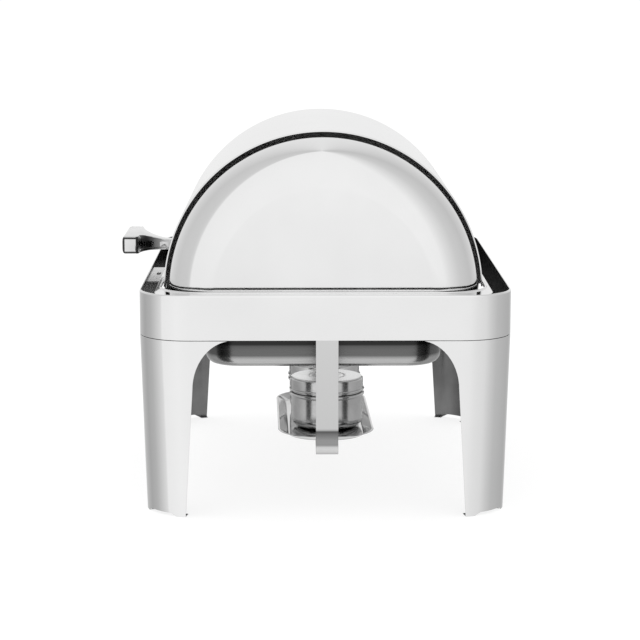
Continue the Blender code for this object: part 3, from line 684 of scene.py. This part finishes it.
def handle_top(y, front, root):
    """The handle's upper face falls from the bar towards the lid."""
    back = front + HANDLE_DEPTH
    share = min(max((y - back) / (root - back), 0), 1)
    return HANDLE_TOP + (HANDLE_ROOT_TOP - HANDLE_TOP) * math.sin(share * math.pi / 2)


def make_handle():
    """A bar on a flared neck, of one polished casting. Its bar's rounded edges are painted near black, and
    its neck's sides painted dark by the bar, lightening towards the lid: painted shade.
    """
    low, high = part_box("lid_handle")
    front = low.y
    root = high.y
    rings = []
    for y, half_x, inset in handle_rows(front, root):
        top = handle_top(y, front, root)
        middle = (top + HANDLE_BOTTOM) / 2
        outline = rounded_outline(half_x - inset, (top - HANDLE_BOTTOM) / 2 - inset, HANDLE_ROUND, 8)
        rings.append([(x, y, middle + z) for x, z in outline])
    work = ring_surface(rings, start_cap=True, end_cap=True)
    bmesh.ops.remove_doubles(work, verts=work.verts, dist=0.00001)
    bmesh.ops.recalc_face_normals(work, faces=work.faces)
    materials = [CAST, CAST_EDGE_PAINTED_SHADE, CAST_NECK_PAINTED_SHADE]
    piece = shown("handle_bar", finished("handle_bar", work), materials, "lid", ["lid_handle"])
    # Rounded edges by the bar get the near-black painted shade, the neck's sides the painted shade bands.
    for face in piece.data.polygons:
        across = max(abs(face.normal.x), abs(face.normal.y))
        if abs(face.normal.z) < FLAT_TOP and across < FLAT_SIDE:
            face.material_index = 1 if face.center.y < front + HANDLE_DEPTH else 2


def make_handle_foot():
    """The handle's foot, a thin plate curved to the lid."""
    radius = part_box("lid_shell")[1].z - LID_AXIS.z + GAP
    start = math.asin((HANDLE_BOTTOM - FOOT_OVERHANG - LID_AXIS.z) / radius)
    end = math.asin((HANDLE_ROOT_TOP + FOOT_OVERHANG - LID_AXIS.z) / radius)
    across = [-FOOT_HALF + FOOT_CORNER * (1 - math.cos(math.radians(a))) for a in range(0, 91, 15)]
    across += [-x for x in reversed(across)]
    rings = []
    for x in across:
        past = max(abs(x) - FOOT_HALF + FOOT_CORNER, 0)
        trim = (FOOT_CORNER - math.sqrt(max(FOOT_CORNER ** 2 - past ** 2, 0))) / radius
        angles = [start + trim + (end - start - 2 * trim) * step / 8 for step in range(9)]
        rings.append([lid_point(radius + FOOT_WALL, angle, x) for angle in angles])
    work = ring_surface(rings, closed=False)
    orient(work, away_from_lid_axis)
    piece = shown("handle_foot", finished("handle_foot", work), [CAST], "lid", ["lid_handle"])
    walled(piece, FOOT_WALL)


# Pans


def make_pan(name, node, flange, floor, outside):
    """A pressed pan with a flat flange, tapered walls and a round bottom edge.

    The flange's inner edge and the walls' bottom edge are given as distances in from the rim, (x, y).
    """
    low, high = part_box(node)
    middle = (low + high) / 2
    half = (high - low) / 2
    sections = [
        (half.x, half.y, PAN_FLANGE_CORNER, high.z - PAN_LIP),
        (half.x - PAN_LIP, half.y - PAN_LIP, PAN_FLANGE_CORNER, high.z),
    ]
    for angle in range(0, 91, 15):
        inward = PAN_EDGE_ROUND * math.sin(math.radians(angle))
        down = PAN_EDGE_ROUND * (1 - math.cos(math.radians(angle)))
        sections.append((
            half.x - flange[0] - inward, half.y - flange[1] - inward, PAN_CORNER - inward, high.z - down,
        ))
    for angle in range(0, 91, 10):
        inward = PAN_FILLET * (1 - math.cos(math.radians(angle)))
        up = SHEET_WALL + PAN_FILLET * (1 - math.sin(math.radians(angle)))
        sections.append((
            half.x - floor[0] - inward, half.y - floor[1] - inward, PAN_FLOOR_CORNER - inward, low.z + up,
        ))
    work = lofted(sections, middle, floor=True)
    orient(work, lambda point: Vector((0, 0, 1)))
    piece = shown(name, finished(name, work), [PAN, outside], node, [node])
    walled(piece, SHEET_WALL, inside_material=1)


# Burners


def rounded_line(points, radius, steps=8):
    """A line of (across, up) points with its inner corners rounded."""
    line = [Vector(points[0])]
    for before, corner, after in zip(points, points[1:], points[2:]):
        into = (Vector(corner) - Vector(before)).normalized()
        out = (Vector(after) - Vector(corner)).normalized()
        half = into.angle(out) / 2
        cut = radius * math.tan(half)
        turn = math.copysign(1, into.x * out.y - into.y * out.x)
        centre = Vector(corner) - into * cut + turn * radius * Vector((-into.y, into.x))
        start = Vector(corner) - into * cut - centre
        for step in range(steps + 1):
            angle = turn * 2 * half * step / steps
            line.append(centre + Matrix.Rotation(angle, 2) @ start)
    line.append(Vector(points[-1]))
    return line


def make_strap():
    """The flat strip under the burners: down inside the end walls, in, and across."""
    low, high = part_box("fuel_strap")
    bend = [(high.x, high.z)] + [(high.x - inward, low.z + up) for inward, up in STRAP_BENDS]
    line = rounded_line(bend + [(-x, z) for x, z in reversed(bend)], STRAP_BEND)
    across = (low.y, low.y + STRAP_EDGE, high.y - STRAP_EDGE, high.y)
    rings = [[(point.x, y, point.y) for y in across] for point in line]
    work = ring_surface(rings, closed=False)
    orient(work, lambda point: Vector((point.x, 0, -0.05)))
    piece = shown("strap", finished("strap", work), [STRAP_PAINTED_SHADE], "frame", ["fuel_strap"])
    walled(piece, STRAP_WALL)


def make_tray():
    """A shallow oblong tray with a rolled rim."""
    low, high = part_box("burner_tray")
    middle = (low + high) / 2
    rise = high.z - low.z
    rows = [(x, y, rise - down) for x, y, down in TRAY_RIM_ROWS] + list(TRAY_BASE_ROWS)
    sections = [(TRAY_RIM[0] - x, TRAY_RIM[1] - y, TRAY_RIM_RADIUS - x, height) for x, y, height in rows]
    work = lofted(sections, Vector(), floor=True)
    orient(work, lambda point: Vector((0, 0, 1)))
    piece = shown(
        "tray", finished("tray", work), [TRAY], "burner_tray", ["burner_tray"],
        location=(middle.x, middle.y, low.z), turn=TRAY_TURN,
    )
    walled(piece, SHEET_WALL)


def make_pot(name):
    """A spun pot, open at the top, with a rolled bead below its neck."""
    low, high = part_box("fuel_pot_" + name)
    middle = (low + high) / 2
    bead = (POT_RADIUS - POT_BEAD_INSET, POT_HEIGHT - POT_BEAD_DROP)
    neck = POT_RADIUS - POT_NECK
    profile = [(neck, POT_HEIGHT), (neck, bead[1] + POT_BEAD_ABOVE)]
    profile += arc(bead, POT_BEAD_RADIUS, 80, -80, 12)
    profile += [(POT_RADIUS, bead[1] - POT_BEAD_BELOW), (POT_RADIUS, POT_FILLET)]
    profile += arc((POT_RADIUS - POT_FILLET, POT_FILLET), POT_FILLET, 0, -90, 12)[1:]
    profile += POT_FOOT
    work = turned(profile)
    orient(work, lambda point: Vector((point.x, point.y, -0.02)))
    piece = shown(
        "pot_" + name, finished("pot_" + name, work), [SPUN], "burner_tray",
        ["fuel_pot_" + name], location=(middle.x, middle.y, low.z),
    )
    walled(piece, SHEET_WALL)


def make_cover(name):
    """A spun cover over the pot's neck, with a bead at its edge and rings pressed in its top."""
    low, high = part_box("pot_cover_" + name)
    middle = (low + high) / 2
    top = high.z - low.z
    profile = [(radius, top - down) for radius, down in COVER_RINGS]
    profile += arc((COVER_RADIUS - COVER_SHOULDER, top - COVER_SHOULDER), COVER_SHOULDER, 90, 0, 8)
    profile += [(COVER_RADIUS, 2 * COVER_BEAD_RADIUS + COVER_BEAD_ABOVE)]
    profile += arc((COVER_RADIUS, COVER_BEAD_RADIUS), COVER_BEAD_RADIUS, 60, -90, 8)
    work = turned(profile)
    orient(work, lambda point: Vector((point.x, point.y, 0.02)))
    piece = shown(
        "cover_" + name, finished("cover_" + name, work), [SPUN, SPUN_TOP_PAINTED_LIGHT], "pot_cover_" + name,
        ["pot_cover_" + name], location=(middle.x, middle.y, low.z),
    )
    # Top faces get the lighter copy: painted light.
    for face in piece.data.polygons:
        face.material_index = int(face.center.z > top - COVER_SHOULDER / 4)
    walled(piece, SHEET_WALL)


# Small fittings


def refine(node, body, material):
    """The CAD's own shape with its edges eased, for a small fitting."""
    source = frame["nodes"][node]
    work = bmesh.new()
    work.from_mesh(source.data)
    bmesh.ops.remove_doubles(work, verts=work.verts, dist=0.00001)
    bmesh.ops.dissolve_limit(work, angle_limit=math.radians(1), verts=work.verts, edges=work.edges)
    mesh = finished(node + "_eased", work)
    piece = shown(node + "_eased", mesh, [material], body, [node])
    ease_edges(piece, width=0.0003, angle=30)


def make_fittings():
    """The small parts that keep the CAD's own shapes."""
    for corner, _, _ in CORNERS:
        refine("leg_joint_" + corner, "frame", PLAIN)
    refine("collar_bracket", "frame", BRACKET)
    for side in ("left", "right"):
        for kind in ("pivot_bracket_", "pivot_pin_", "pivot_clip_", "pan_hanger_", "pan_rest_"):
            refine(kind + side, "frame", PLAIN)
        for kind in ("lid_pivot_plate_", "handle_screw_"):
            refine(kind + side, "lid", PLAIN)


# Studio


# How bright the studio's walls are below and above, by compass angle in degrees from +X
LOW_LEVELS = (
    (-180, 0.95), (-150, 0.55), (-122, 0.43), (-99, 0.50), (-87, 0.60), (-75, 0.72), (-68, 0.80),
    (-65, 0.93), (-31, 0.98), (0, 0.95), (22, 0.93), (38, 0.86), (57, 0.81), (73, 0.67),
    (90, 0.56), (118, 0.50), (138, 0.47), (155, 0.55), (180, 0.95),
)
HIGH_LEVELS = (
    (-180, 0.90), (-110, 0.66), (-75, 0.70), (-67, 0.76), (-63, 0.97), (0, 1.01),
    (35, 0.99), (50, 0.86), (75, 0.70), (110, 0.62), (180, 0.90),
)
STUDIO_RADIUS = 12
BLEND_BOTTOM = -1.6
BLEND_TOP = -0.5
FLOOR_SIZE = 14
FLOOR_GREY = 0.25
FLOOR_GLOW = 0.80
WORLD_GLOW = 1.05
LAMP_PLACE = Vector((0.4, -0.8, 3.2))
LAMP_SIZE = 2.2
LAMP_POWER = 12
CAMERA_PLACE = (2.8746, -0.0125, 0.6675)
CAMERA_TILT = math.radians(9.297)
CAMERA_SWING = math.radians(0.527)
CAMERA_LENS = 120.6


def studio_walls():
    """A glow that goes by compass angle, with the lower walls blended into the upper ones."""
    material = bpy.data.materials.new("studio_walls")
    material.use_nodes = True
    tree = material.node_tree
    tree.nodes.clear()
    place = tree.nodes.new("ShaderNodeTexCoord").outputs["Object"]
    split = tree.nodes.new("ShaderNodeSeparateXYZ")
    tree.links.new(place, split.inputs["Vector"])
    compass = tree.nodes.new("ShaderNodeMath")
    compass.operation = "ARCTAN2"
    tree.links.new(split.outputs["Y"], compass.inputs[0])
    tree.links.new(split.outputs["X"], compass.inputs[1])
    share = tree.nodes.new("ShaderNodeMapRange")
    share.inputs["From Min"].default_value = -math.pi
    share.inputs["From Max"].default_value = math.pi
    tree.links.new(compass.outputs["Value"], share.inputs["Value"])
    low, high = (
        grey_ramp(tree, share.outputs["Result"], [((angle + 180) / 360, level) for angle, level in levels])
        for levels in (LOW_LEVELS, HIGH_LEVELS)
    )
    rise = tree.nodes.new("ShaderNodeMapRange")
    rise.interpolation_type = "SMOOTHSTEP"
    rise.inputs["From Min"].default_value = BLEND_BOTTOM
    rise.inputs["From Max"].default_value = BLEND_TOP
    tree.links.new(split.outputs["Z"], rise.inputs["Value"])
    blend = tree.nodes.new("ShaderNodeMix")
    blend.data_type = "RGBA"
    tree.links.new(rise.outputs["Result"], blend.inputs["Factor"])
    tree.links.new(low, blend.inputs["A"])
    tree.links.new(high, blend.inputs["B"])
    glow = tree.nodes.new("ShaderNodeEmission")
    tree.links.new(blend.outputs["Result"], glow.inputs["Color"])
    output = tree.nodes.new("ShaderNodeOutputMaterial")
    tree.links.new(glow.outputs["Emission"], output.inputs["Surface"])
    return material


def make_surroundings():
    """A shell that only reflections see: a studio whose walls are darker to the sides."""
    work = bmesh.new()
    bmesh.ops.create_icosphere(work, subdivisions=4, radius=STUDIO_RADIUS)
    mesh = finished("surroundings", work)
    mesh.materials.append(studio_walls())
    shell = bpy.data.objects.new("surroundings", mesh)
    bpy.context.scene.collection.objects.link(shell)
    for ray in ("camera", "diffuse", "transmission", "volume_scatter", "shadow"):
        setattr(shell, "visible_" + ray, False)


def make_floor():
    """A pale floor, which gives off most of its own light and shows in no reflection."""
    work = bmesh.new()
    bmesh.ops.create_grid(work, x_segments=1, y_segments=1, size=FLOOR_SIZE)
    mesh = finished("studio_floor", work)
    floor = bpy.data.objects.new("studio_floor", mesh)
    material = bpy.data.materials.new("white_floor")
    material.use_nodes = True
    shader = material.node_tree.nodes["Principled BSDF"]
    shader.inputs["Base Color"].default_value = (FLOOR_GREY, FLOOR_GREY, FLOOR_GREY, 1)
    shader.inputs["Roughness"].default_value = 0.9
    shader.inputs["Specular IOR Level"].default_value = 0.0
    shader.inputs["Emission Color"].default_value = (1, 1, 1, 1)
    shader.inputs["Emission Strength"].default_value = FLOOR_GLOW
    mesh.materials.append(material)
    bpy.context.scene.collection.objects.link(floor)
    floor.visible_glossy = False


def make_world():
    world = bpy.data.worlds.new("studio")
    world.use_nodes = True
    world.node_tree.nodes["Background"].inputs["Color"].default_value = (1, 1, 1, 1)
    world.node_tree.nodes["Background"].inputs["Strength"].default_value = WORLD_GLOW
    bpy.context.scene.world = world


def make_lamp():
    """A soft lamp that looks at the object. It lights the floor and shows in no reflection."""
    lamp = bpy.data.lights.new("soft_top_lamp", "AREA")
    lamp.shape = "DISK"
    lamp.size = LAMP_SIZE
    lamp.energy = LAMP_POWER
    holder = bpy.data.objects.new("soft_top_lamp", lamp)
    holder.location = LAMP_PLACE
    holder.rotation_euler = (-LAMP_PLACE).to_track_quat("-Z", "Y").to_euler()
    bpy.context.scene.collection.objects.link(holder)
    holder.visible_glossy = False
    holder.visible_camera = False


def make_camera():
    """At the frame's end, a little above it, a fraction of a degree off its long axis."""
    camera = bpy.data.cameras.new("view")
    camera.lens = CAMERA_LENS
    camera.sensor_width = 36
    camera.clip_end = 100
    holder = bpy.data.objects.new("view", camera)
    level = math.cos(CAMERA_TILT) * Vector((-math.cos(CAMERA_SWING), math.sin(CAMERA_SWING), 0))
    forward = level - Vector((0, 0, math.sin(CAMERA_TILT)))
    holder.location = CAMERA_PLACE
    holder.rotation_euler = forward.to_track_quat("-Z", "Y").to_euler()
    bpy.context.scene.collection.objects.link(holder)
    bpy.context.scene.camera = holder


def main():
    make_band()
    for corner, side_x, side_y in CORNERS:
        make_leg(corner, side_x, side_y)
    make_collar()
    make_lid_shell()
    make_lid_end("left", -1)
    make_lid_end("right", 1)
    make_handle()
    make_handle_foot()
    make_pan("pan_of_water", "water_pan", WATER_PAN_FLANGE, WATER_PAN_FLOOR, PAN_OUTSIDE_PAINTED_SHADE)
    make_pan("pan_of_food", "food_pan", FOOD_PAN_FLANGE, FOOD_PAN_FLOOR, PAN)
    make_strap()
    make_tray()
    for name in ("near", "far"):
        make_pot(name)
        make_cover(name)
    make_fittings()
    make_surroundings()
    make_floor()
    make_world()
    make_lamp()
    make_camera()
    bpy.context.scene.view_settings.view_transform = "Standard"


main()
